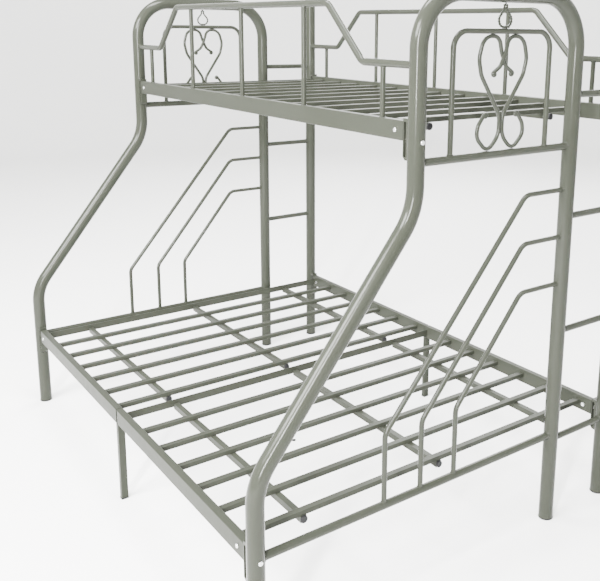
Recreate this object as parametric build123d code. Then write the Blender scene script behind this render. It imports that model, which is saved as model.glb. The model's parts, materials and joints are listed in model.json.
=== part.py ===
"""Metal bunk bed: a single bed over a double bed, between two bent-tube end panels with built-in ladders.

Millimetres. X runs along the bed (foot end at +X), Y across it (the wide lower bed sticks out at -Y),
Z is up from the floor, and the origin is on the floor under the middle of the bed.
"""
from build123d import *
import os

os.makedirs("parts", exist_ok=True)

# ---- end panels: where the tube centre lines run ----
PANEL_X = 975.0            # each end panel stands this far from the middle
FRONT_POST_Y = -720.0      # lower, splayed part of the arch's front leg
ARCH_FRONT_Y = -207.0      # upper part of the arch's front leg
ARCH_REAR_Y = 435.0        # the arch's rear leg, which is also the ladder's inner stile
LADDER_POST_Y = 720.0      # the ladder's outer stile, and the bed's rear corner post
ARCH_TOP_Z = 1776.0
ARCH_RADIUS = 155.0
SPLAY_TOP_Z = 1183.0       # corner of the upper bend, before rounding
SPLAY_BOTTOM_Z = 531.0     # corner of the lower bend, before rounding
SPLAY_TOP_RADIUS = 200.0
SPLAY_BOTTOM_RADIUS = 180.0
ORNAMENT_Y = (ARCH_FRONT_Y + ARCH_REAR_Y) / 2

# ---- tubes and rods ----
POST_D = 50.0
POST_WALL = 1.2
CROSS_RAIL_D = 25.0
RUNG_D = 22.0
GUARD_D = 22.0
BAR_D = 16.0               # inner arch, side bars and balusters
ROD_D = 12.0               # solid scroll rod
RING_ROD_D = 8.0
THIN_WALL = 0.9

# ---- levels ----
CROSS_RAIL_Z = 1318.0
LOWER_RAIL_Z = 318.0
RUNG_Z = [298.0, 692.0, 1086.0, 1480.0]
LADDER_POST_TOP_Z = 1795.0
UPPER_RAIL_TOP_Z = 1430.0
LOWER_RAIL_TOP_Z = 348.0

# ---- inner arch, scrolls and side bars ----
INNER_ARCH_HALF = 197.0
INNER_ARCH_TOP_Z = 1672.0
INNER_ARCH_RADIUS = 50.0
SIDE_BAR_TOP_Z = [1178.0, 1022.0, 863.0]
SIDE_BAR_FOOT_Y = [-296.0, -158.0, -22.0]
SIDE_BAR_TOP_BEND_Y = 242.0
SIDE_BAR_LOW_BEND_Z = 543.0
SIDE_BAR_RADIUS = 45.0
SCROLL_EYE_D = 18.0
SCROLL_EYE_WIDTH = 13.4

# ---- deck rails and slats ----
RAIL_W = 25.0
RAIL_H = 55.0
RAIL_WALL = 1.2
RAIL_CORNER = 3.0
RAIL_END_X = 931.0
SLAT_W = 22.0
SLAT_H = 16.0
SLAT_DROP = 14.0           # slat tops lie this far below the rail tops
SUPPORT_SIZE = 20.0
SUPPORT_WALL = 1.2
PLUG_CAP = 5.0
PLUG_CAP_D = 23.0
PLUG_DEPTH = 12.0
UPPER_SLAT_PITCH = 147.0
UPPER_SLAT_COUNT = 12
UPPER_LAST_SLAT_X = 782.0
LOWER_SLAT_PITCH = 141.0
LOWER_SLAT_COUNT = 6
LOWER_FIRST_SLAT = 162.0   # from the start of the half
UPPER_SUPPORT_OFFSET = 272.0
LOWER_SUPPORT_OFFSET = 514.0
UPPER_OVERHANG = 26.0      # how far a support runs past the last slat
LOWER_OVERHANG = 12.0
ANGLE_WEB = 28.0
ANGLE_FLANGE = 11.0
ANGLE_T = 3.0
SLEEVE_LENGTH = 180.0      # joins the two halves of a lower side rail
SLEEVE_GAP = 0.2
SLEEVE_BOLT_X = 40.0
JOINT_GAP = 10.0           # open slot between the two halves of a lower side rail

# ---- guard rails ----
GUARD_LOW_Z = 1581.0
GUARD_HIGH_Z = 1749.0
GUARD_LOW_BEND_X = 726.0
GUARD_HIGH_BEND_X = 547.0
GUARD_RADIUS = 40.0
BALUSTER_X = [-824.0, -412.0, 0.0, 412.0, 824.0]

# ---- brackets, bolts, feet ----
BRACKET_W = 28.0
BRACKET_DEPTH = 16.0       # from the post's surface to the bracket's face
BRACKET_T = 3.0
BRACKET_H = 115.0
BRACKET_RISE = 8.0         # bracket top above the rail top
BRACKET_CHAMFER = 9.0
BRACKET_BRIDGE = 9.0       # height of the metal left at the top and bottom
TONGUE_T = 6.0
TONGUE_H = 46.0
TONGUE_LENGTH = 60.0
BOLT_D = 8.0
BOLT_HEAD_D = 13.0
BOLT_HEAD_H = 4.0
SOCKET_D = 5.2             # across the corners
RAIL_BOLT_X = 898.0
BOLT_HOLE_D = 8.6
NUT_D = 15.0               # across the corners
NUT_H = 6.0
UPPER_BOLT_DROP = 53.0     # post bolt below the rail top
LOWER_BOLT_DROP = 27.0
FOOT_D = 52.0
FOOT_FLOOR = 5.0           # the post stands on the plug's flange
PLUG_HEIGHT = 20.0         # how far a foot plug reaches up inside
MIDDLE_LEG_X = 20.0        # section of a middle leg along the bed
MIDDLE_LEG_Y = 25.0        # and across it
MIDDLE_FOOT_LIP = 1.0      # how far its foot stands out all round
COLLAR_D = 54.0
FINIAL_D = 44.0
SPIGOT_LENGTH = 20.0

SIDES = {"head": -1, "foot": 1}
POST_R = POST_D / 2
UPPER_BOLT_Z = UPPER_RAIL_TOP_Z - UPPER_BOLT_DROP
LOWER_BOLT_Z = LOWER_RAIL_TOP_Z - LOWER_BOLT_DROP
# where a deck rail meets an end panel: post y, rail top, height of the bolt through the post
RAIL_PLACES = [
    (ARCH_FRONT_Y, UPPER_RAIL_TOP_Z, UPPER_BOLT_Z),
    (LADDER_POST_Y, UPPER_RAIL_TOP_Z, UPPER_BOLT_Z),
    (FRONT_POST_Y, LOWER_RAIL_TOP_Z, LOWER_BOLT_Z),
    (LADDER_POST_Y, LOWER_RAIL_TOP_Z, LOWER_BOLT_Z),
]


# ---- helpers ----
def tube_on(path, outer, wall):
    """Round tube, or a solid rod if wall is None, swept along a path."""
    start = Plane(origin=path @ 0, z_dir=path % 0)
    skin = sweep(start * Circle(outer / 2), path=path)
    if wall is None:
        return skin
    bore = sweep(start * Circle(outer / 2 - wall), path=path)
    return skin - bore


def straight_tube(start, end, outer, wall):
    return tube_on(Edge.make_line(start, end), outer, wall)


def post_core(x, y):
    """Solid the size of a post, used to cope whatever is welded to it."""
    return Pos(x, y, ARCH_TOP_Z / 2) * Cylinder(POST_R, ARCH_TOP_Z)


def box_between(low, high):
    size = [b - a for a, b in zip(low, high)]
    middle = [(a + b) / 2 for a, b in zip(low, high)]
    return Pos(*middle) * Box(*size)


def cylinder_x(x0, x1, y, z, diameter):
    return Pos((x0 + x1) / 2, y, z) * Rot(0, 90, 0) * Cylinder(diameter / 2, abs(x1 - x0))


def cylinder_y(y0, y1, x, z, diameter):
    return Pos(x, (y0 + y1) / 2, z) * Rot(90, 0, 0) * Cylinder(diameter / 2, abs(y1 - y0))


def standing_cylinder(z0, height, diameter):
    """Upright cylinder on the Z axis whose bottom is at z0."""
    return Pos(0, 0, z0 + height / 2) * Cylinder(diameter / 2, height)


def bolt_head():
    """Button head whose flat side is at z = 0, with a hexagon socket."""
    dome = standing_cylinder(0, BOLT_HEAD_H, BOLT_HEAD_D)
    dome = fillet(dome.edges().group_by(Axis.Z)[-1], BOLT_HEAD_H * 0.6)
    socket = Pos(0, 0, BOLT_HEAD_H * 0.4) * extrude(RegularPolygon(SOCKET_D / 2, 6), amount=BOLT_HEAD_H)
    return dome - socket


def write(name, *solids):
    shape = solids[0] if len(solids) == 1 else Compound(children=list(solids))
    shape.label = name
    export_step(shape, f"parts/{name}.step")


# ---- end panel pieces ----
def arch_path(x):
    points = [
        (x, FRONT_POST_Y, FOOT_FLOOR),
        (x, FRONT_POST_Y, SPLAY_BOTTOM_Z),
        (x, ARCH_FRONT_Y, SPLAY_TOP_Z),
        (x, ARCH_FRONT_Y, ARCH_TOP_Z),
        (x, ARCH_REAR_Y, ARCH_TOP_Z),
        (x, ARCH_REAR_Y, FOOT_FLOOR),
    ]
    return FilletPolyline(*points, radius=[SPLAY_BOTTOM_RADIUS, SPLAY_TOP_RADIUS, ARCH_RADIUS, ARCH_RADIUS])


def post_bolt_hole(x, y, z):
    return cylinder_x(x - POST_D, x + POST_D, y, z, BOLT_HOLE_D)


def arch_tube(x):
    tube = tube_on(arch_path(x), POST_D, POST_WALL)
    tube -= post_bolt_hole(x, ARCH_FRONT_Y, UPPER_BOLT_Z)
    return tube - post_bolt_hole(x, FRONT_POST_Y, LOWER_BOLT_Z)


def ladder_post(x):
    bottom = (x, LADDER_POST_Y, FOOT_FLOOR)
    tube = straight_tube(bottom, (x, LADDER_POST_Y, LADDER_POST_TOP_Z), POST_D, POST_WALL)
    for bolt_z in (UPPER_BOLT_Z, LOWER_BOLT_Z):
        tube -= post_bolt_hole(x, LADDER_POST_Y, bolt_z)
    return tube


def cross_tube(x, y0, y1, z, diameter):
    """Tube across the panel, its ends coped to fit the posts at y0 and y1."""
    tube = straight_tube((x, y0, z), (x, y1, z), diameter, THIN_WALL)
    return tube - post_core(x, y0) - post_core(x, y1)


def ladder_rungs(x):
    return [cross_tube(x, ARCH_REAR_Y, LADDER_POST_Y, z, RUNG_D) for z in RUNG_Z]


def inner_arch(x):
    y0 = ORNAMENT_Y - INNER_ARCH_HALF
    y1 = ORNAMENT_Y + INNER_ARCH_HALF
    points = [
        (x, y0, CROSS_RAIL_Z),
        (x, y0, INNER_ARCH_TOP_Z),
        (x, y1, INNER_ARCH_TOP_Z),
        (x, y1, CROSS_RAIL_Z),
    ]
    tube = tube_on(FilletPolyline(*points, radius=INNER_ARCH_RADIUS), BAR_D, THIN_WALL)
    return tube - rail_core(x, CROSS_RAIL_Z)


def rail_core(x, z):
    """Solid the size of a cross rail, used to cope whatever is welded to it."""
    return straight_tube((x, FRONT_POST_Y, z), (x, ARCH_REAR_Y, z), CROSS_RAIL_D, None)


def scroll(x, side):
    """One rod of the heart: side -1 forms the lobe and loop towards -Y, side 1 its mirror twin.

    The rod starts at a rolled eye on the far side of the middle, passes beside its twin,
    goes round the lobe, down to the middle and round the loop to a second rolled eye.
    """
    outline = [
        (-44.0, 1556.0),
        (-17.0, 1573.0),
        (2.0, 1612.0),
        (20.0, 1658.0),
        (80.0, 1658.0),
        (98.0, 1596.0),
        (86.0, 1548.0),
        (6.2, 1432.0),
        (6.2, 1371.0),
        (52.0, 1327.0),
        (97.0, 1371.0),
        (92.0, 1405.0),
        (68.0, 1436.0),
    ]
    radii = [30.0, 60.0, 34.0, 40.0, 60.0, 60.0, 60.0, 60.0, 26.0, 36.0, 40.0]
    # the two rods pass beside each other near the top eyes, so each leans half a rod out of the plane
    lean = [1.0, 1.0, 1.0] + [0.0] * (len(outline) - 3)
    points = []
    for (across, z), shift in zip(outline, lean):
        points.append((x + side * shift * (ROD_D / 2 + 0.1), ORNAMENT_Y + side * across, z))
    path = FilletPolyline(*points, radius=radii)
    rod = tube_on(path, ROD_D, None)
    half = SCROLL_EYE_WIDTH / 2
    for tip_x, tip_y, tip_z in (points[0], points[-1]):
        rod += cylinder_x(tip_x - half, tip_x + half, tip_y, tip_z, SCROLL_EYE_D)
    return rod


def twist_ring(x):
    """Drop-shaped loop with a narrow neck, between the inner arch and the arch above it."""
    foot_z = INNER_ARCH_TOP_Z + BAR_D / 2 + RING_ROD_D / 2
    top_z = ARCH_TOP_Z - POST_R - RING_ROD_D / 2
    neck = 5.2
    half = 25.0
    neck_z = top_z - 14.0
    shoulder_z = foot_z + 26.0
    points = [
        (x, ORNAMENT_Y + neck, top_z),
        (x, ORNAMENT_Y + neck, neck_z),
        (x, ORNAMENT_Y + half, shoulder_z),
        (x, ORNAMENT_Y + half, foot_z),
        (x, ORNAMENT_Y - half, foot_z),
        (x, ORNAMENT_Y - half, shoulder_z),
        (x, ORNAMENT_Y - neck, neck_z),
        (x, ORNAMENT_Y - neck, top_z),
    ]
    path = FilletPolyline(*points, radius=[5.0, 12.0, 16.0, 19.0, 19.0, 16.0, 12.0, 5.0], close=True)
    return tube_on(path, RING_ROD_D, None)


def side_bar(x, top_z, foot_y):
    points = [
        (x, ARCH_REAR_Y, top_z),
        (x, SIDE_BAR_TOP_BEND_Y, top_z),
        (x, foot_y, SIDE_BAR_LOW_BEND_Z),
        (x, foot_y, LOWER_RAIL_Z),
    ]
    bar = tube_on(FilletPolyline(*points, radius=SIDE_BAR_RADIUS), BAR_D, THIN_WALL)
    return bar - post_core(x, ARCH_REAR_Y) - rail_core(x, LOWER_RAIL_Z)


# ---- brackets, bolts, feet and finials ----
def rail_bracket(side, y, rail_top, bolt_z):
    """Box open at both sides, between post and rail, with a tongue that the hollow rail slides over."""
    face_x = PANEL_X - POST_R - BRACKET_DEPTH
    top = rail_top + BRACKET_RISE
    bottom = top - BRACKET_H
    half = BRACKET_W / 2
    profile = Polyline((face_x, bottom + BRACKET_CHAMFER), (face_x, top), (PANEL_X, top), (PANEL_X, bottom),
                       (face_x + BRACKET_CHAMFER, bottom), close=True)
    side_plane = Plane((0, y + half, 0), x_dir=(1, 0, 0), z_dir=(0, -1, 0))
    block = extrude(side_plane * make_face(profile), amount=BRACKET_W)
    window = box_between((face_x + BRACKET_T, y - BRACKET_W, bottom + BRACKET_BRIDGE),
                         (PANEL_X - POST_R - BRACKET_T, y + BRACKET_W, top - BRACKET_BRIDGE))
    frame = block - window - post_core(PANEL_X, y)
    mid_z = rail_top - RAIL_H / 2
    tongue = box_between((face_x - TONGUE_LENGTH, y - TONGUE_T / 2, mid_z - TONGUE_H / 2),
                         (face_x, y + TONGUE_T / 2, mid_z + TONGUE_H / 2))
    tongue -= cylinder_y(y - TONGUE_T, y + TONGUE_T, RAIL_BOLT_X, mid_z, BOLT_HOLE_D)
    bracket = frame + tongue
    bracket -= cylinder_x(face_x - BOLT_D, PANEL_X, y, bolt_z, BOLT_HOLE_D)
    return bracket if side > 0 else bracket.mirror(Plane.YZ)


def nut():
    return extrude(RegularPolygon(NUT_D / 2, 6), amount=NUT_H)


def post_bolt(side, y, bolt_z):
    """Bolt through a post into the nut welded inside its bracket."""
    web_x = PANEL_X - POST_R - BRACKET_DEPTH + BRACKET_T
    head = Pos(PANEL_X + POST_R, y, bolt_z) * Rot(0, 90, 0) * bolt_head()
    shank = cylinder_x(web_x - BRACKET_T, PANEL_X + POST_R, y, bolt_z, BOLT_D)
    bolt = head + shank + Pos(web_x, y, bolt_z) * Rot(0, 90, 0) * nut()
    return bolt if side > 0 else bolt.mirror(Plane.YZ)


def rail_bolt(x, y, rail_top):
    """Bolt right through a side rail and the tongue in it, with its nut on the inner face."""
    z = rail_top - RAIL_H / 2
    out = outward(y)
    nut_y = y - out * RAIL_W / 2
    head = Pos(x, y + out * RAIL_W / 2, z) * Rot(-90 * out, 0, 0) * bolt_head()
    shank = cylinder_y(nut_y - out * (NUT_H + 1), y + out * RAIL_W / 2, x, z, BOLT_D)
    end_nut = Pos(x, nut_y, z) * Rot(90 * out, 0, 0) * nut()
    return head + (shank + end_nut)


def joint_bolt(x, y):
    """Bolt up through the undersides of a lower side rail and its sleeve, with its nut inside the sleeve."""
    under = LOWER_RAIL_TOP_Z - RAIL_H
    nut_z = under + 2 * RAIL_WALL + SLEEVE_GAP
    head = Rot(180, 0, 0) * bolt_head()
    shank = standing_cylinder(0, nut_z - under + NUT_H + 1, BOLT_D)
    return Pos(x, y, under) * (head + (shank + Pos(0, 0, nut_z - under) * nut()))


def foot(x, y):
    """Plastic plug in the bottom of a post, with a flange that the post stands on."""
    flange = standing_cylinder(0, FOOT_FLOOR, FOOT_D)
    flange = fillet(flange.edges().filter_by(GeomType.CIRCLE), 2.0)
    return Pos(x, y, 0) * (flange + standing_cylinder(FOOT_FLOOR, PLUG_HEIGHT, POST_D - 2 * POST_WALL))


def finial(x):
    """Ribbed collar and low dome that close the ladder post."""
    rings = [(COLLAR_D, 9.0), (COLLAR_D - 6, 4.0), (COLLAR_D, 9.0), (FINIAL_D - 6, 8.0)]
    body = standing_cylinder(-SPIGOT_LENGTH, SPIGOT_LENGTH, POST_D - 2 * POST_WALL)
    level = 0.0
    for diameter, height in rings:
        ring = standing_cylinder(level, height, diameter)
        body += fillet(ring.edges().filter_by(GeomType.CIRCLE), 1.8)
        level += height
    body += Pos(0, 0, level + FINIAL_D * 0.35) * Sphere(FINIAL_D / 2)
    return Pos(x, LADDER_POST_Y, LADDER_POST_TOP_Z) * body


# ---- deck pieces ----
def rail_tube(x0, x1, y, z, width, height):
    """Rectangular tube along X round the line at y, z."""
    w = width / 2
    h = height / 2
    tube = box_between((x0, y - w, z - h), (x1, y + w, z + h))
    tube = fillet(tube.edges().filter_by(Axis.X), RAIL_CORNER)
    low = (x0 - 1, y - w + RAIL_WALL, z - h + RAIL_WALL)
    return tube - box_between(low, (x1 + 1, y + w - RAIL_WALL, z + h - RAIL_WALL))


def outward(y):
    return -1 if y < 0 else 1


def end_bolt_hole(x, y, rail_top):
    """Hole right through a side rail."""
    return cylinder_y(y - RAIL_W, y + RAIL_W, x, rail_top - RAIL_H / 2, BOLT_HOLE_D)


def joint_bolt_hole(x, y):
    """Hole through the undersides of a lower side rail and its sleeve."""
    return Pos(x, y, 0) * standing_cylinder(LOWER_RAIL_TOP_Z - RAIL_H - 1, RAIL_H / 2, BOLT_HOLE_D)


def upper_rail(y):
    rail = rail_tube(-RAIL_END_X, RAIL_END_X, y, UPPER_RAIL_TOP_Z - RAIL_H / 2, RAIL_W, RAIL_H)
    rail -= end_bolt_hole(-RAIL_BOLT_X, y, UPPER_RAIL_TOP_Z)
    return rail - end_bolt_hole(RAIL_BOLT_X, y, UPPER_RAIL_TOP_Z)


def lower_rail_half(side, y):
    """Half of a lower side rail, from the middle of the bed to one end panel."""
    x0, x1 = sorted((side * JOINT_GAP / 2, side * RAIL_END_X))
    rail = rail_tube(x0, x1, y, LOWER_RAIL_TOP_Z - RAIL_H / 2, RAIL_W, RAIL_H)
    rail -= end_bolt_hole(side * RAIL_BOLT_X, y, LOWER_RAIL_TOP_Z)
    return rail - joint_bolt_hole(side * SLEEVE_BOLT_X, y)


def joint_sleeve(y):
    """Tube inside the two halves of a lower side rail, slotted on its outer face where they meet."""
    shrink = 2 * (RAIL_WALL + SLEEVE_GAP)
    half = SLEEVE_LENGTH / 2
    z = LOWER_RAIL_TOP_Z - RAIL_H / 2
    sleeve = rail_tube(-half, half, y, z, RAIL_W - shrink, RAIL_H - shrink)
    slot_half = JOINT_GAP / 2
    slot_y = sorted((y, y + outward(y) * RAIL_W))
    slot_z = RAIL_H / 2 - 2 * RAIL_CORNER
    sleeve -= box_between((-slot_half, slot_y[0], z - slot_z), (slot_half, slot_y[1], z + slot_z))
    return sleeve - joint_bolt_hole(-SLEEVE_BOLT_X, y) - joint_bolt_hole(SLEEVE_BOLT_X, y)


def slat(x, y0, y1, top):
    half = SLAT_W / 2
    bottom = top - SLAT_H
    bar = fillet(box_between((x - half, y0, bottom), (x + half, y1, top)).edges().filter_by(Axis.Y), 2.0)
    low = (x - half + THIN_WALL, y0 - 1, bottom + THIN_WALL)
    high = (x + half - THIN_WALL, y1 + 1, top - THIN_WALL)
    return bar - box_between(low, high)


def end_angle(start, y0, y1, top):
    """Steel angle across the start of a deck: an upright web with its flange at the bottom."""
    web = box_between((start + ANGLE_FLANGE - ANGLE_T, y0, top - ANGLE_WEB), (start + ANGLE_FLANGE, y1, top))
    flange = box_between((start, y0, top - ANGLE_WEB), (start + ANGLE_FLANGE, y1, top - ANGLE_WEB + ANGLE_T))
    return web + flange


def support(x0, x1, y, z):
    """Square tube along X that carries the slats."""
    half = SUPPORT_SIZE / 2
    inner = half - SUPPORT_WALL
    skin = box_between((x0, y - half, z - half), (x1, y + half, z + half))
    return skin - box_between((x0 - 1, y - inner, z - inner), (x1 + 1, y + inner, z + inner))


def plug(x, y, z):
    """Plastic plug in the open end of a support tube, with a round cap."""
    cap = cylinder_x(x, x + PLUG_CAP, y, z, PLUG_CAP_D)
    cap = fillet(cap.edges().group_by(Axis.X)[-1], 2.0)
    inner = SUPPORT_SIZE / 2 - SUPPORT_WALL
    return cap + box_between((x - PLUG_DEPTH, y - inner, z - inner), (x, y + inner, z + inner))


def deck_span(y_front, y_rear):
    return y_front + RAIL_W / 2, y_rear - RAIL_W / 2


def guard_path(y):
    points = [
        (-PANEL_X, y, GUARD_LOW_Z),
        (-GUARD_LOW_BEND_X, y, GUARD_LOW_Z),
        (-GUARD_HIGH_BEND_X, y, GUARD_HIGH_Z),
        (GUARD_HIGH_BEND_X, y, GUARD_HIGH_Z),
        (GUARD_LOW_BEND_X, y, GUARD_LOW_Z),
        (PANEL_X, y, GUARD_LOW_Z),
    ]
    return FilletPolyline(*points, radius=GUARD_RADIUS)


def guard_tube(y):
    tube = tube_on(guard_path(y), GUARD_D, THIN_WALL)
    return tube - post_core(-PANEL_X, y) - post_core(PANEL_X, y)


def balusters(y):
    core = tube_on(guard_path(y), GUARD_D, None)
    bars = []
    for x in BALUSTER_X:
        top = GUARD_HIGH_Z if abs(x) < GUARD_HIGH_BEND_X else GUARD_LOW_Z
        bars.append(straight_tube((x, y, UPPER_RAIL_TOP_Z), (x, y, top), BAR_D, THIN_WALL) - core)
    return bars


def middle_leg(y):
    half_x = MIDDLE_LEG_X / 2
    half_y = MIDDLE_LEG_Y / 2
    top = LOWER_RAIL_TOP_Z - RAIL_H
    block = box_between((-half_x, y - half_y, FOOT_FLOOR), (half_x, y + half_y, top))
    leg = fillet(block.edges().filter_by(Axis.Z), 2.0)
    inner_x = half_x - RAIL_WALL
    inner_y = half_y - RAIL_WALL
    return leg - box_between((-inner_x, y - inner_y, 0), (inner_x, y + inner_y, top + 1))


def middle_foot(y):
    """Plastic plug in the bottom of a middle leg."""
    outer_x = MIDDLE_LEG_X / 2 + MIDDLE_FOOT_LIP
    outer_y = MIDDLE_LEG_Y / 2 + MIDDLE_FOOT_LIP
    inner_x = MIDDLE_LEG_X / 2 - RAIL_WALL
    inner_y = MIDDLE_LEG_Y / 2 - RAIL_WALL
    flange = box_between((-outer_x, y - outer_y, 0), (outer_x, y + outer_y, FOOT_FLOOR))
    flange = fillet(flange.edges().filter_by(Axis.Z), 3.0)
    plug_top = FOOT_FLOOR + PLUG_HEIGHT
    return flange + box_between((-inner_x, y - inner_y, FOOT_FLOOR), (inner_x, y + inner_y, plug_top))


# ---- build ----
for end, side in SIDES.items():
    x = side * PANEL_X
    write(f"{end}_arch_tube", arch_tube(x))
    write(f"{end}_ladder_post", ladder_post(x))
    write(f"{end}_ladder_rungs", *ladder_rungs(x))
    write(f"{end}_cross_rail", cross_tube(x, ARCH_FRONT_Y, ARCH_REAR_Y, CROSS_RAIL_Z, CROSS_RAIL_D))
    write(f"{end}_lower_rail", cross_tube(x, FRONT_POST_Y, ARCH_REAR_Y, LOWER_RAIL_Z, CROSS_RAIL_D))
    write(f"{end}_inner_arch", inner_arch(x))
    write(f"{end}_scroll_front", scroll(x, -1))
    write(f"{end}_scroll_rear", scroll(x, 1))
    write(f"{end}_twist_ring", twist_ring(x))
    bars = [side_bar(x, top, foot_y) for top, foot_y in zip(SIDE_BAR_TOP_Z, SIDE_BAR_FOOT_Y)]
    write(f"{end}_side_bars", *bars)
    write(f"{end}_rail_brackets", *[rail_bracket(side, y, top, bolt_z) for y, top, bolt_z in RAIL_PLACES])
    write(f"{end}_post_bolts", *[post_bolt(side, y, bolt_z) for y, _, bolt_z in RAIL_PLACES])
    write(f"{end}_rail_bolts", *[rail_bolt(side * RAIL_BOLT_X, y, top) for y, top, _ in RAIL_PLACES])
    write(f"{end}_feet", foot(x, FRONT_POST_Y), foot(x, ARCH_REAR_Y), foot(x, LADDER_POST_Y))
    write(f"{end}_finial", finial(x))

upper_slat_top = UPPER_RAIL_TOP_Z - SLAT_DROP
upper_support_z = upper_slat_top - SLAT_H - SUPPORT_SIZE / 2
y_in, y_out = deck_span(ARCH_FRONT_Y, LADDER_POST_Y)
write("upper_front_rail", upper_rail(ARCH_FRONT_Y))
write("upper_rear_rail", upper_rail(LADDER_POST_Y))
slat_xs = [UPPER_LAST_SLAT_X - UPPER_SLAT_PITCH * i for i in range(UPPER_SLAT_COUNT)]
write("upper_slats", *[slat(x, y_in, y_out, upper_slat_top) for x in slat_xs])
write("upper_end_angle", end_angle(-RAIL_END_X, y_in, y_out, upper_slat_top))
upper_mid_y = (y_in + y_out) / 2
support_start = -RAIL_END_X + ANGLE_FLANGE
support_end = UPPER_LAST_SLAT_X + UPPER_OVERHANG
upper_support_ys = [upper_mid_y - UPPER_SUPPORT_OFFSET, upper_mid_y + UPPER_SUPPORT_OFFSET]
write("upper_supports", *[support(support_start, support_end, y, upper_support_z) for y in upper_support_ys])
plugs = [plug(support_end, y, upper_support_z) for y in upper_support_ys]

lower_slat_top = LOWER_RAIL_TOP_Z - SLAT_DROP
lower_support_z = lower_slat_top - SLAT_H - SUPPORT_SIZE / 2
y_in, y_out = deck_span(FRONT_POST_Y, LADDER_POST_Y)
lower_support_ys = [-LOWER_SUPPORT_OFFSET, 0.0, LOWER_SUPPORT_OFFSET]
for end, start in (("head", -RAIL_END_X), ("foot", JOINT_GAP / 2)):
    write(f"lower_{end}_front_rail", lower_rail_half(SIDES[end], FRONT_POST_Y))
    write(f"lower_{end}_rear_rail", lower_rail_half(SIDES[end], LADDER_POST_Y))
    write(f"lower_{end}_angle", end_angle(start, y_in, y_out, lower_slat_top))
    xs = [start + LOWER_FIRST_SLAT + LOWER_SLAT_PITCH * i for i in range(LOWER_SLAT_COUNT)]
    write(f"lower_{end}_slats", *[slat(x, y_in, y_out, lower_slat_top) for x in xs])
    tail = xs[-1] + LOWER_OVERHANG
    front_x = start + ANGLE_FLANGE
    write(f"lower_{end}_supports", *[support(front_x, tail, y, lower_support_z) for y in lower_support_ys])
    plugs += [plug(tail, y, lower_support_z) for y in lower_support_ys]
write("support_plugs", *plugs)

for name, y in (("front", ARCH_FRONT_Y), ("rear", LADDER_POST_Y)):
    write(f"{name}_guard_tube", guard_tube(y))
    write(f"{name}_guard_balusters", *balusters(y))
for name, y in (("front", FRONT_POST_Y), ("rear", LADDER_POST_Y)):
    write(f"{name}_middle_leg", middle_leg(y))
    write(f"{name}_joint_sleeve", joint_sleeve(y))
write("middle_leg_feet", middle_foot(FRONT_POST_Y), middle_foot(LADDER_POST_Y))
joint_places = [(x, y) for x in (-SLEEVE_BOLT_X, SLEEVE_BOLT_X) for y in (FRONT_POST_Y, LADDER_POST_Y)]
write("joint_bolts", *[joint_bolt(x, y) for x, y in joint_places])
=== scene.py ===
"""Looks of the metal bunk bed: finely drawn painted tubes, weld beads, finials and a pale studio."""
import json
import math

import bmesh
import bpy
from mathutils import Matrix, Vector


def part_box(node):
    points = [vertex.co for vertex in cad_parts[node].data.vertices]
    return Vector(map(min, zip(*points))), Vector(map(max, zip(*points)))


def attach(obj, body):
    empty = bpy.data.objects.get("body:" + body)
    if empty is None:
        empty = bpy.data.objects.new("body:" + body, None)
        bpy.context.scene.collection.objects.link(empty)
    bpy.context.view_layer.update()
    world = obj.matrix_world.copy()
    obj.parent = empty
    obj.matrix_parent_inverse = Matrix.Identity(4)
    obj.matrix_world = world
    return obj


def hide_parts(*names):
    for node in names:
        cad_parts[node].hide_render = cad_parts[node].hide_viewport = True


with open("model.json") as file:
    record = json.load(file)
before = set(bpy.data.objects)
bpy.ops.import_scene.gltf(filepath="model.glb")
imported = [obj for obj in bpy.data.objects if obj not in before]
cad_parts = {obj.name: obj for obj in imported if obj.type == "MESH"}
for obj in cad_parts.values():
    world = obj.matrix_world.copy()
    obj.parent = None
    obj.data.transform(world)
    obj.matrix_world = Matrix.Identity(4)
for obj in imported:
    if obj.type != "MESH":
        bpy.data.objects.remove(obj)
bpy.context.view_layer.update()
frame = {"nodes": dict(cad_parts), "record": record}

Z_UP = Vector((0, 0, 1))

# ---- places, in metres, read from the frame ----
ENDS = {"head": -1, "foot": 1}
post_low, post_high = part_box("foot_ladder_post")
guard_low, guard_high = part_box("front_guard_tube")
arch_low, arch_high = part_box("foot_arch_tube")
inner_low, inner_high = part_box("foot_inner_arch")
cross_low, cross_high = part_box("foot_cross_rail")
lower_low, lower_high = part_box("foot_lower_rail")
ring_low, ring_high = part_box("foot_twist_ring")
POST_R = (post_high.x - post_low.x) / 2
PANEL_X = (post_high.x + post_low.x) / 2
LADDER_Y = (post_high.y + post_low.y) / 2
LADDER_TOP = post_high.z
POST_FOOT = post_low.z
FRONT_Y = arch_low.y + POST_R
ARCH_REAR_Y = arch_high.y - POST_R
ARCH_FRONT_Y = (guard_low.y + guard_high.y) / 2
ARCH_TOP = arch_high.z - POST_R
ORNAMENT_Y = (ARCH_FRONT_Y + ARCH_REAR_Y) / 2
GUARD_R = (guard_high.y - guard_low.y) / 2
GUARD_LOW = guard_low.z + GUARD_R
GUARD_HIGH = guard_high.z - GUARD_R
CROSS_R = (cross_high.z - cross_low.z) / 2
CROSS_Z = (cross_high.z + cross_low.z) / 2
LOWER_Z = (lower_high.z + lower_low.z) / 2
BAR_R = (inner_high.x - inner_low.x) / 2
UPPER_RAIL_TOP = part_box("upper_front_rail")[1].z

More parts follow.
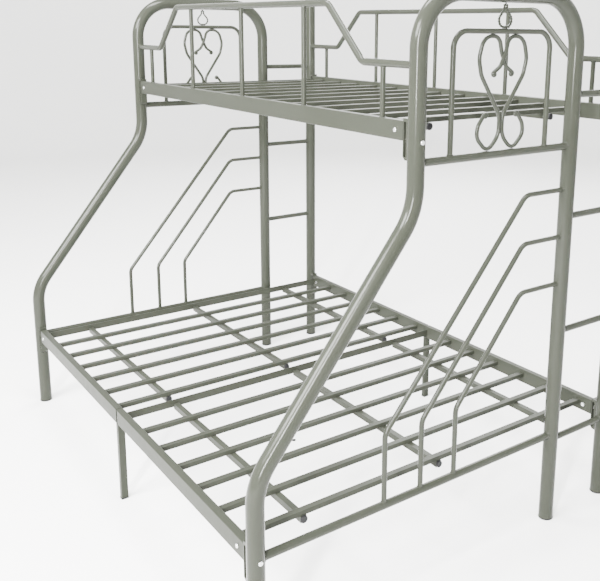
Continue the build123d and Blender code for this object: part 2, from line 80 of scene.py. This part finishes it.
# ---- bends and spacings of the welded tubes, in metres ----
ARCH_BEND = 0.155
SPLAY_TOP_Z, SPLAY_TOP_BEND = 1.183, 0.200
SPLAY_LOW_Z, SPLAY_LOW_BEND = 0.531, 0.180
INNER_BEND = 0.050
RUNG_Z = (0.298, 0.692, 1.086, 1.480)
RUNG_R = 0.011
SIDE_BAR_TOP_Z = (1.178, 1.022, 0.863)
SIDE_BAR_FOOT_Y = (-0.296, -0.158, -0.022)
SIDE_BAR_TOP_Y, SIDE_BAR_LOW_Z, SIDE_BAR_BEND = 0.242, 0.543, 0.045
GUARD_LOW_X, GUARD_HIGH_X, GUARD_BEND = 0.726, 0.547, 0.040
BALUSTER_X = (-0.824, -0.412, 0.0, 0.412, 0.824)
SCROLL_R = 0.006
SLAT_HALF = 0.011
UPPER_PITCH, UPPER_COUNT = 0.147, 12
LOWER_PITCH, LOWER_COUNT = 0.141, 6

# ---- radii of the weld beads, in metres ----
CROSS_BEAD = 0.0024
RUNG_BEAD = 0.0022
BAR_BEAD = 0.0020
BALUSTER_BEAD = 0.0018
SLAT_BEAD = 0.0016

# ---- colours and gloss of the paints: dark, light, roughness from, roughness to, specular level ----
PAINTS = {
    "frame_paint": ((0.021, 0.023, 0.017), (0.024, 0.026, 0.020), 0.14, 0.18, 0.12),
    "deck_paint": ((0.022, 0.024, 0.018), (0.025, 0.027, 0.021), 0.28, 0.33, 0.04),
    "ornament_paint": ((0.019, 0.021, 0.016), (0.022, 0.024, 0.018), 0.14, 0.18, 0.14),
}
FLAKE_COLOUR = (0.038, 0.040, 0.033)
FLAKE_SHARE = 0.16


# ---- materials ----
class Shader:
    """A node material whose fixed values sit on the shader's own sockets."""

    def __init__(self, name):
        self.material = bpy.data.materials.new(name)
        self.material.use_nodes = True
        self.nodes = self.material.node_tree.nodes
        self.links = self.material.node_tree.links
        self.surface = self.nodes["Principled BSDF"]
        self.place = self.nodes.new("ShaderNodeTexCoord").outputs["Object"]

    def set(self, **values):
        for socket, value in values.items():
            self.surface.inputs[socket.replace("_", " ")].default_value = value

    def noise(self, scale, detail=3.0):
        """Noise in the object's own metres: scale is features to the metre."""
        node = self.nodes.new("ShaderNodeTexNoise")
        node.inputs["Scale"].default_value = scale
        node.inputs["Detail"].default_value = detail
        self.links.new(self.place, node.inputs["Vector"])
        return node.outputs["Fac"]

    def cells(self, scale):
        """Small cells, each with a random value."""
        node = self.nodes.new("ShaderNodeTexVoronoi")
        node.inputs["Scale"].default_value = scale
        self.links.new(self.place, node.inputs["Vector"])
        return node.outputs["Color"]

    def ramp(self, factor, low, high, start=0.3, end=0.7):
        """A number between low and high that follows factor."""
        node = self.nodes.new("ShaderNodeMapRange")
        node.inputs["From Min"].default_value = start
        node.inputs["From Max"].default_value = end
        node.inputs["To Min"].default_value = low
        node.inputs["To Max"].default_value = high
        self.links.new(factor, node.inputs["Value"])
        return node.outputs["Result"]

    def mix(self, factor, first, second):
        """A colour between first and second; either is a colour or a socket."""
        node = self.nodes.new("ShaderNodeMix")
        node.data_type = "RGBA"
        self.links.new(factor, node.inputs["Factor"])
        for socket, colour in ((node.inputs[6], first), (node.inputs[7], second)):
            if isinstance(colour, tuple):
                socket.default_value = (*colour, 1.0)
            else:
                self.links.new(colour, socket)
        return node.outputs[2]

    def plug(self, socket, value):
        self.links.new(value, self.surface.inputs[socket])

    def bump(self, *layers):
        """Stacked bumps, each (height, strength, distance in metres)."""
        normal = None
        for height, strength, distance in layers:
            node = self.nodes.new("ShaderNodeBump")
            node.inputs["Strength"].default_value = strength
            node.inputs["Distance"].default_value = distance
            self.links.new(height, node.inputs["Height"])
            if normal:
                self.links.new(normal, node.inputs["Normal"])
            normal = node.outputs["Normal"]
        self.plug("Normal", normal)


def powder_coat(name, dark, light, rough_low, rough_high, shine):
    """Satin powder coat: orange peel, fine metallic flake, faint clouding."""
    s = Shader(name)
    s.set(Metallic=0.05, Specular_IOR_Level=shine)
    cloud = s.mix(s.ramp(s.noise(4.0), 0.0, 1.0), dark, light)
    flake = s.mix(s.ramp(s.cells(1900.0), 0.0, FLAKE_SHARE, 0.4, 1.0), cloud, FLAKE_COLOUR)
    s.plug("Base Color", flake)
    s.plug("Roughness", s.ramp(s.noise(38.0), rough_low, rough_high))
    s.bump((s.noise(260.0, 2.0), 0.05, 0.0005), (s.noise(1500.0, 2.0), 0.02, 0.0002))
    return s.material


def zinc(name):
    """Bright zinc plate with fine turning marks."""
    s = Shader(name)
    s.set(Metallic=1.0, Coat_Weight=0.1)
    s.plug("Base Color", s.mix(s.noise(160.0), (0.62, 0.63, 0.64), (0.84, 0.84, 0.82)))
    s.plug("Roughness", s.ramp(s.noise(500.0), 0.16, 0.34))
    s.bump((s.noise(2200.0, 2.0), 0.15, 0.0001))
    return s.material


def moulded_plastic(name):
    """Black moulded plastic with a fine grain."""
    s = Shader(name)
    s.set(Metallic=0.0, Specular_IOR_Level=0.18)
    s.plug("Base Color", s.mix(s.noise(90.0), (0.0025, 0.0025, 0.0028), (0.006, 0.006, 0.0065)))
    s.plug("Roughness", s.ramp(s.noise(260.0), 0.42, 0.58))
    s.bump((s.noise(1800.0, 2.0), 0.25, 0.0002))
    return s.material


MATERIALS = {name: powder_coat(name, *values) for name, values in PAINTS.items()}
MATERIALS["zinc"] = zinc("zinc")
MATERIALS["black_plastic"] = moulded_plastic("black_plastic")


# ---- mesh helpers ----
def rounded_path(points, bends, turn=math.radians(5)):
    """Points of a polyline whose inner corners are arcs of the given radii."""
    points = [Vector(p) for p in points]
    path = [points[0]]
    for before, corner, after, bend in zip(points, points[1:], points[2:], bends):
        into = (corner - before).normalized()
        out = (after - corner).normalized()
        angle = into.angle(out)
        start = corner - into * bend * math.tan(angle / 2)
        centre = start + (out - into * into.dot(out)).normalized() * bend
        axis = into.cross(out).normalized()
        steps = max(2, math.ceil(angle / turn))
        for i in range(steps + 1):
            path.append(centre + Matrix.Rotation(angle * i / steps, 3, axis) @ (start - centre))
    path.append(points[-1])
    return path


def frames_along(path, closed):
    """A tangent and a steady side direction for each point of a path."""
    count = len(path)
    tangents = []
    for i, point in enumerate(path):
        before = path[i - 1] if i or closed else point
        after = path[(i + 1) % count] if i < count - 1 or closed else point
        tangents.append((after - before).normalized())
    side = tangents[0].orthogonal().normalized()
    frames = []
    for tangent in tangents:
        side = (side - tangent * side.dot(tangent)).normalized()
        frames.append((tangent, side))
    return frames


def skin(mesh, pairs):
    """Joins each pair of vertex rings with a band of quads."""
    for one, two in pairs:
        count = len(one)
        for k in range(count):
            mesh.faces.new((one[k], one[(k + 1) % count], two[(k + 1) % count], two[k]))


def level_ring(mesh, centre, r, z, sides):
    """A level ring of vertices, z above centre."""
    ring = []
    for k in range(sides):
        a = 2 * math.pi * k / sides
        ring.append(mesh.verts.new(centre + Vector((r * math.cos(a), r * math.sin(a), z))))
    return ring


def sweep(mesh, path, radius, sides, closed=False):
    """Adds a round tube to a bmesh. radius is one number or one for each point; open ends get caps."""
    radii = radius if isinstance(radius, list) else [radius] * len(path)
    rings = []
    for point, (tangent, side), r in zip(path, frames_along(path, closed), radii):
        other = tangent.cross(side)
        ring = []
        for k in range(sides):
            a = 2 * math.pi * k / sides
            ring.append(mesh.verts.new(point + side * (r * math.cos(a)) + other * (r * math.sin(a))))
        rings.append(ring)
    pairs = list(zip(rings, rings[1:]))
    if closed:
        pairs.append((rings[-1], nearest_turn(rings[0], rings[-1][0])))
    skin(mesh, pairs)
    if not closed:
        mesh.faces.new(list(reversed(rings[0])))
        mesh.faces.new(rings[-1])


def nearest_turn(ring, vertex):
    """The ring, started at its vertex nearest to the given one, so that a closed tube doesn't twist."""
    start = min(range(len(ring)), key=lambda k: (ring[k].co - vertex.co).length)
    return ring[start:] + ring[:start]


def lathe(mesh, centre, profile, sides=72):
    """Adds a solid of revolution about a vertical axis: profile is (radius, height) from bottom to top."""
    rings = [level_ring(mesh, centre, r, z, sides) for r, z in profile]
    skin(mesh, zip(rings, rings[1:]))
    mesh.faces.new(list(reversed(rings[0])))
    mesh.faces.new(rings[-1])


def piece(name, build, slot, replaced=()):
    """Makes one named piece from a function that fills a bmesh, and hangs it on the frame."""
    mesh = bmesh.new()
    build(mesh)
    bmesh.ops.recalc_face_normals(mesh, faces=mesh.faces)
    data = bpy.data.meshes.new(name)
    mesh.to_mesh(data)
    mesh.free()
    data.shade_smooth()
    data.set_sharp_from_angle(angle=math.radians(42))
    data.materials.append(MATERIALS[slot])
    obj = bpy.data.objects.new(name, data)
    bpy.context.scene.collection.objects.link(obj)
    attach(obj, "root")
    if replaced:
        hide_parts(*replaced)
    return obj


def tubes(name, paths, radius, slot, replaced, sides=32):
    """One piece made of round tubes of the same radius."""
    def build(mesh):
        for path in paths:
            sweep(mesh, path, radius, sides)
    return piece(name, build, slot, replaced)


# ---- welded tubes of an end panel ----
def arch_line(x):
    """The big arch, from its splayed front foot over the top to its rear foot."""
    corners = [
        (x, FRONT_Y, POST_FOOT),
        (x, FRONT_Y, SPLAY_LOW_Z),
        (x, ARCH_FRONT_Y, SPLAY_TOP_Z),
        (x, ARCH_FRONT_Y, ARCH_TOP),
        (x, ARCH_REAR_Y, ARCH_TOP),
        (x, ARCH_REAR_Y, POST_FOOT),
    ]
    return rounded_path(corners, (SPLAY_LOW_BEND, SPLAY_TOP_BEND, ARCH_BEND, ARCH_BEND), math.radians(3))


def inner_arch_line(x):
    y0 = inner_low.y + BAR_R
    y1 = inner_high.y - BAR_R
    top = inner_high.z - BAR_R
    corners = [(x, y0, CROSS_Z), (x, y0, top), (x, y1, top), (x, y1, CROSS_Z)]
    return rounded_path(corners, (INNER_BEND, INNER_BEND))


def side_bar_lines(x):
    lines = []
    for top, foot in zip(SIDE_BAR_TOP_Z, SIDE_BAR_FOOT_Y):
        corners = [
            (x, ARCH_REAR_Y, top),
            (x, SIDE_BAR_TOP_Y, top),
            (x, foot, SIDE_BAR_LOW_Z),
            (x, foot, LOWER_Z),
        ]
        lines.append(rounded_path(corners, (SIDE_BAR_BEND, SIDE_BAR_BEND)))
    return lines


# ---- ornaments and finials of an end panel ----
def curl(path, turn):
    """Carries a rod's end on round a small eye, in the plane of the panel. The eye tightens as it turns."""
    radius, sweep_angle, tightening, steps = 0.0052, math.radians(300), 0.35, 22
    tangent = (path[-1] - path[-2]).normalized()
    normal = Vector((turn, 0, 0)).cross(tangent).normalized()
    centre = path[-1] + normal * radius
    curled = []
    for i in range(1, steps + 1):
        a = sweep_angle * i / steps
        shrink = 1 - tightening * i / steps
        curled.append(centre + (Matrix.Rotation(a, 3, (turn, 0, 0)) @ (path[-1] - centre)) * shrink)
    return path + curled


def scroll_line(x, side):
    """One rod of the heart, from its upper eye round the lobe and the bottom loop to its lower eye.

    The outline is (across, height). The rod starts beside the other one, so that the two pass at the top.
    """
    outline = [
        (-0.044, 1.556),
        (-0.017, 1.573),
        (0.002, 1.612),
        (0.020, 1.658),
        (0.080, 1.658),
        (0.098, 1.596),
        (0.086, 1.548),
        (0.0062, 1.432),
        (0.0062, 1.371),
        (0.052, 1.3270),
        (0.097, 1.371),
        (0.092, 1.405),
        (0.068, 1.436),
    ]
    bends = (0.030, 0.060, 0.034, 0.040, 0.060, 0.060, 0.060, 0.060, 0.026, 0.036, 0.040)
    crossing_points = 3
    crossing_shift = side * (SCROLL_R + 0.0001)
    points = []
    for i, (across, z) in enumerate(outline):
        lean = crossing_shift if i < crossing_points else 0.0
        points.append(Vector((x + lean, ORNAMENT_Y + side * across, z)))
    return rounded_path(points, bends)


def build_scroll(mesh, x, side):
    """One rod of the heart with an eye at each end, where it tapers."""
    tip, taper_points = 0.78, 26
    path = curl(scroll_line(x, side), side)
    path = list(reversed(curl(list(reversed(path)), side)))
    radii = []
    for i in range(len(path)):
        from_tip = min(i, len(path) - 1 - i)
        radii.append(SCROLL_R * (tip + (1 - tip) * min(1.0, from_tip / taper_points)))
    sweep(mesh, path, radii, 20)


def build_ring(mesh, x):
    """Drop-shaped loop of two thin rods twisted round each other, its neck drawn up under the arch."""
    rod = (ring_high.x - ring_low.x) / 2
    half = (ring_high.y - ring_low.y) / 2 - rod
    low = ring_low.z + rod
    high = ring_high.z - rod
    neck = 0.0052
    neck_z = high - 0.014
    shoulder_z = low + 0.026
    bends = (0.005, 0.012, 0.016, 0.019)
    corners = [
        (x, ORNAMENT_Y, high),
        (x, ORNAMENT_Y + neck, high),
        (x, ORNAMENT_Y + neck, neck_z),
        (x, ORNAMENT_Y + half, shoulder_z),
        (x, ORNAMENT_Y + half, low),
        (x, ORNAMENT_Y - half, low),
        (x, ORNAMENT_Y - half, shoulder_z),
        (x, ORNAMENT_Y - neck, neck_z),
        (x, ORNAMENT_Y - neck, high),
        (x, ORNAMENT_Y, high),
    ]
    core = even_points(rounded_path(corners, bends + bends[::-1]), 240)
    twists = 12
    strand_r = rod * 0.53
    strand_offset = rod * 0.46
    across = Vector((1, 0, 0))
    for strand in (0, math.pi):
        path = []
        for i, point in enumerate(core):
            along = (core[(i + 1) % len(core)] - core[i - 1]).normalized()
            out = along.cross(across)
            a = twists * 2 * math.pi * i / len(core) + strand
            path.append(point + (out * math.cos(a) + across * math.sin(a)) * strand_offset)
        sweep(mesh, path, strand_r, 12, closed=True)


def even_points(line, count):
    """Evenly spaced points round a line that ends where it starts."""
    reach = [0.0]
    for one, two in zip(line, line[1:]):
        reach.append(reach[-1] + (two - one).length)
    points = []
    k = 0
    for i in range(count):
        target = reach[-1] * i / count
        while reach[k + 1] < target:
            k += 1
        share = (target - reach[k]) / (reach[k + 1] - reach[k])
        points.append(line[k].lerp(line[k + 1], share))
    return points


def finial_profile():
    """A ribbed collar under a low ball, as (radius, height) from the post's top."""
    low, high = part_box("foot_finial")
    collar = (high.y - low.y) / 2
    rib_tall, rib_edge, groove = 0.009, 0.0025, 0.004
    ball, neck_low, neck_high = 0.022, 0.0245, 0.030
    top = high.z - LADDER_TOP
    profile = [(POST_R * 0.9, -0.004), (POST_R * 0.94, 0.0)]
    for base in (0.0, 0.013):
        for i in range(9):
            a = math.pi * (i / 8 - 0.5)
            height = base + rib_tall / 2 + rib_tall / 2 * math.sin(a)
            profile.append((collar - rib_edge + rib_edge * math.cos(a), height))
        profile.append((collar - groove, base + rib_tall + 0.0015))
    profile += [(ball - 0.005, neck_low), (ball - 0.006, neck_high)]
    centre = top - ball
    for i in range(3, 25):
        a = math.pi * (i / 24 - 0.5)
        profile.append((max(0.0004, ball * math.cos(a)), centre + ball * math.sin(a)))
    return profile


# ---- build the end panels ----
for end, sign in ENDS.items():
    x = sign * PANEL_X
    tubes(f"{end}_arch", [arch_line(x)], POST_R, "frame_paint", (f"{end}_arch_tube",), 56)
    post = [Vector((x, LADDER_Y, POST_FOOT)), Vector((x, LADDER_Y, LADDER_TOP))]
    tubes(f"{end}_outer_stile", [post], POST_R, "frame_paint", (f"{end}_ladder_post",), 56)
    rungs = [[Vector((x, ARCH_REAR_Y, z)), Vector((x, LADDER_Y, z))] for z in RUNG_Z]
    tubes(f"{end}_rungs", rungs, RUNG_R, "frame_paint", (f"{end}_ladder_rungs",))
    cross = [Vector((x, ARCH_FRONT_Y, CROSS_Z)), Vector((x, ARCH_REAR_Y, CROSS_Z))]
    tubes(f"{end}_cross_tube", [cross], CROSS_R, "frame_paint", (f"{end}_cross_rail",))
    lower = [Vector((x, FRONT_Y, LOWER_Z)), Vector((x, ARCH_REAR_Y, LOWER_Z))]
    tubes(f"{end}_lower_tube", [lower], CROSS_R, "frame_paint", (f"{end}_lower_rail",))
    tubes(f"{end}_inner_hoop", [inner_arch_line(x)], BAR_R, "frame_paint", (f"{end}_inner_arch",))
    tubes(f"{end}_panel_bars", side_bar_lines(x), BAR_R, "frame_paint", (f"{end}_side_bars",))
    for place, side in (("front", -1), ("rear", 1)):
        piece(f"{end}_heart_{place}", lambda mesh: build_scroll(mesh, x, side), "ornament_paint",
              (f"{end}_scroll_{place}",))
    piece(f"{end}_teardrop", lambda mesh: build_ring(mesh, x), "ornament_paint", (f"{end}_twist_ring",))
    top = Vector((x, LADDER_Y, LADDER_TOP))
    piece(f"{end}_post_finial", lambda mesh: lathe(mesh, top, finial_profile()), "frame_paint",
          (f"{end}_finial",))


# ---- guard rails ----
def guard_line(y):
    corners = [
        (-PANEL_X, y, GUARD_LOW),
        (-GUARD_LOW_X, y, GUARD_LOW),
        (-GUARD_HIGH_X, y, GUARD_HIGH),
        (GUARD_HIGH_X, y, GUARD_HIGH),
        (GUARD_LOW_X, y, GUARD_LOW),
        (PANEL_X, y, GUARD_LOW),
    ]
    return rounded_path(corners, (GUARD_BEND,) * 4)


def baluster_top(x):
    return GUARD_HIGH if abs(x) < GUARD_HIGH_X else GUARD_LOW


for place, y in (("front", ARCH_FRONT_Y), ("rear", LADDER_Y)):
    tubes(f"{place}_guard_rail", [guard_line(y)], GUARD_R, "frame_paint", (f"{place}_guard_tube",), 36)
    bars = [[Vector((x, y, UPPER_RAIL_TOP)), Vector((x, y, baluster_top(x)))] for x in BALUSTER_X]
    tubes(f"{place}_guard_bars", bars, BAR_R, "frame_paint", (f"{place}_guard_balusters",))


# ---- weld beads ----
def saddle(base, along, host, host_r, tube_r, steps=64):
    """Closed line where a tube running along `along` from base meets a host tube's surface."""
    across = host.cross(along).normalized()
    line = []
    for i in range(steps):
        a = 2 * math.pi * i / steps
        reach = math.sqrt(max(0.0, host_r ** 2 - (tube_r * math.sin(a)) ** 2))
        line.append(base + along * reach + across * (tube_r * math.sin(a)) + host * (tube_r * math.cos(a)))
    return line


def bead(mesh, line, size):
    """Rippled bead along a closed line."""
    count = len(line)
    ripples = max(8, round(count * 0.28))
    ripple_depth = 0.10
    radii = [size * (1 + ripple_depth * math.sin(2 * math.pi * ripples * i / count)) for i in range(count)]
    sweep(mesh, line, radii, 10, closed=True)


def panel_welds(mesh, x):
    y_axis = Vector((0, 1, 0))
    for z in RUNG_Z:
        bead(mesh, saddle(Vector((x, ARCH_REAR_Y, z)), y_axis, Z_UP, POST_R, RUNG_R), RUNG_BEAD)
        bead(mesh, saddle(Vector((x, LADDER_Y, z)), -y_axis, Z_UP, POST_R, RUNG_R), RUNG_BEAD)
    for y0, z in ((ARCH_FRONT_Y, CROSS_Z), (FRONT_Y, LOWER_Z)):
        bead(mesh, saddle(Vector((x, y0, z)), y_axis, Z_UP, POST_R, CROSS_R), CROSS_BEAD)
        bead(mesh, saddle(Vector((x, ARCH_REAR_Y, z)), -y_axis, Z_UP, POST_R, CROSS_R), CROSS_BEAD)
    for z, y in zip(SIDE_BAR_TOP_Z, SIDE_BAR_FOOT_Y):
        bead(mesh, saddle(Vector((x, ARCH_REAR_Y, z)), -y_axis, Z_UP, POST_R, BAR_R), BAR_BEAD)
        bead(mesh, saddle(Vector((x, y, LOWER_Z)), Z_UP, y_axis, CROSS_R, BAR_R), BAR_BEAD)
    for y in (inner_low.y + BAR_R, inner_high.y - BAR_R):
        bead(mesh, saddle(Vector((x, y, CROSS_Z)), Z_UP, y_axis, CROSS_R, BAR_R), BAR_BEAD)


def guard_welds(mesh, y):
    x_axis = Vector((1, 0, 0))
    for sign in (-1, 1):
        end = Vector((sign * PANEL_X, y, GUARD_LOW))
        bead(mesh, saddle(end, -sign * x_axis, Z_UP, POST_R, GUARD_R), RUNG_BEAD)
    for x in BALUSTER_X:
        top = Vector((x, y, baluster_top(x)))
        foot = Vector((x, y, UPPER_RAIL_TOP))
        bead(mesh, saddle(top, -Z_UP, x_axis, GUARD_R, BAR_R), BALUSTER_BEAD)
        bead(mesh, saddle(foot, Z_UP, x_axis, 0.0, BAR_R), BALUSTER_BEAD)


def slat_welds(mesh, places, rails, top):
    """Short bead, thin at its tips, across the top of each slat end against its side rail."""
    half, steps, tip, ripple_depth, ripples = SLAT_HALF - 0.002, 12, 0.45, 0.12, 9
    shares = [i / steps for i in range(steps + 1)]
    radii = []
    for share in shares:
        swell = tip + (1 - tip) * math.sin(math.pi * share)
        ripple = 1 + ripple_depth * math.sin(ripples * share * math.pi)
        radii.append(SLAT_BEAD * swell * ripple)
    for x in places:
        for y in rails:
            path = [Vector((x - half + 2 * half * share, y, top)) for share in shares]
            sweep(mesh, path, radii, 8)


def deck_welds(name, slats, front, rear, places):
    """Beads of one deck: slats is the slat node, front and rear its two side rails."""
    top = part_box(slats)[1].z
    rails = (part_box(front)[1].y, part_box(rear)[0].y)
    piece(name, lambda mesh: slat_welds(mesh, places, rails, top), "deck_paint")


for end, sign in ENDS.items():
    piece(f"{end}_panel_welds", lambda mesh: panel_welds(mesh, sign * PANEL_X), "frame_paint")
for place, y in (("front", ARCH_FRONT_Y), ("rear", LADDER_Y)):
    piece(f"{place}_guard_welds", lambda mesh: guard_welds(mesh, y), "frame_paint")

upper_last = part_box("upper_slats")[1].x - SLAT_HALF
deck_welds("upper_deck_welds", "upper_slats", "upper_front_rail", "upper_rear_rail",
           [upper_last - UPPER_PITCH * i for i in range(UPPER_COUNT)])
for end in ENDS:
    slats = f"lower_{end}_slats"
    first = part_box(slats)[0].x + SLAT_HALF
    deck_welds(f"lower_{end}_deck_welds", slats, f"lower_{end}_front_rail", f"lower_{end}_rear_rail",
               [first + LOWER_PITCH * i for i in range(LOWER_COUNT)])

# ---- finishes of the CAD nodes that stay ----
# The flat rails and middle legs take the matter paint of the decks, as a glossy one would mirror the floor.
slot_of = {row["node"]: row["material_slot"] for row in frame["record"]["subparts"]}
for node, obj in frame["nodes"].items():
    flat_faced = node.endswith(("front_rail", "rear_rail", "middle_leg"))
    for place in obj.material_slots:
        place.material = MATERIALS["deck_paint" if flat_faced else slot_of[node]]


# ---- studio ----
def backdrop():
    """Pale floor that curves up into a wall all round."""
    flat, curve, wall, sides = 8.0, 3.0, 8.0, 128
    profile = [(0.01, 0.0), (flat, 0.0)]
    for i in range(1, 17):
        a = math.pi / 2 * i / 16
        profile.append((flat + curve * math.sin(a), curve * (1 - math.cos(a))))
    profile.append((flat + curve, wall))
    mesh = bmesh.new()
    rings = [level_ring(mesh, Vector((0, 0, 0)), r, z, sides) for r, z in profile]
    skin(mesh, zip(rings, rings[1:]))
    mesh.faces.new(rings[0])
    data = bpy.data.meshes.new("studio_floor")
    mesh.to_mesh(data)
    mesh.free()
    data.shade_smooth()
    s = Shader("studio_paper")
    s.set(Roughness=0.9, Specular_IOR_Level=0.1)
    s.plug("Base Color", s.mix(s.noise(0.8), (0.86, 0.86, 0.85), (0.88, 0.88, 0.87)))
    data.materials.append(s.material)
    obj = bpy.data.objects.new("studio_floor", data)
    bpy.context.scene.collection.objects.link(obj)


def area_light(name, place, target, size, power):
    """A soft light at place, turned towards target. Its size is in metres and its power in watts."""
    light = bpy.data.lights.new(name, "AREA")
    light.shape = "RECTANGLE"
    light.size, light.size_y = size
    light.energy = power
    obj = bpy.data.objects.new(name, light)
    obj.location = place
    obj.rotation_mode = "QUATERNION"
    obj.rotation_quaternion = (Vector(target) - Vector(place)).to_track_quat("-Z", "Y")
    obj.visible_camera = False
    bpy.context.scene.collection.objects.link(obj)


def camera():
    """Three-quarter view of the front and the foot end, from just above the upper deck."""
    place = (2.6291, -1.6232, 1.6745)
    yaw, pitch, roll = math.radians(53.05), math.radians(12.17), math.radians(0.72)
    lens, shift = 48.55, (-0.108, -0.1458)
    back = Vector((math.sin(yaw) * math.cos(pitch), -math.cos(yaw) * math.cos(pitch), math.sin(pitch)))
    right = Vector((math.cos(yaw), math.sin(yaw), 0))
    up = back.cross(right)
    right, up = right * math.cos(roll) + up * math.sin(roll), up * math.cos(roll) - right * math.sin(roll)
    data = bpy.data.cameras.new("camera")
    data.lens = lens
    data.shift_x, data.shift_y = shift
    obj = bpy.data.objects.new("camera", data)
    turn = Matrix((right, up, back)).transposed().to_4x4()
    obj.matrix_world = Matrix.Translation(place) @ turn
    bpy.context.scene.collection.objects.link(obj)
    bpy.context.scene.camera = obj


backdrop()
area_light("key", (0.6, -4.6, 4.2), (0.0, 0.0, 0.8), (2.6, 2.0), 1700)
area_light("streak", (3.2, -3.6, 2.4), (0.2, 0.0, 1.0), (0.25, 2.6), 1000)
area_light("fill", (5.2, 1.6, 3.2), (0.0, 0.0, 0.8), (3.0, 2.4), 40)
area_light("overhead", (0.2, -0.4, 4.6), (0.0, 0.0, 1.0), (3.4, 0.8), 650)
area_light("back", (-3.5, 4.5, 4.5), (0.0, 0.0, 0.8), (3.0, 2.4), 600)
world = bpy.data.worlds.new("studio")
world.use_nodes = True
sky = world.node_tree.nodes["Background"]
sky.inputs["Color"].default_value = (1.0, 1.0, 1.0, 1.0)
sky.inputs["Strength"].default_value = 1.5
bpy.context.scene.world = world
camera()
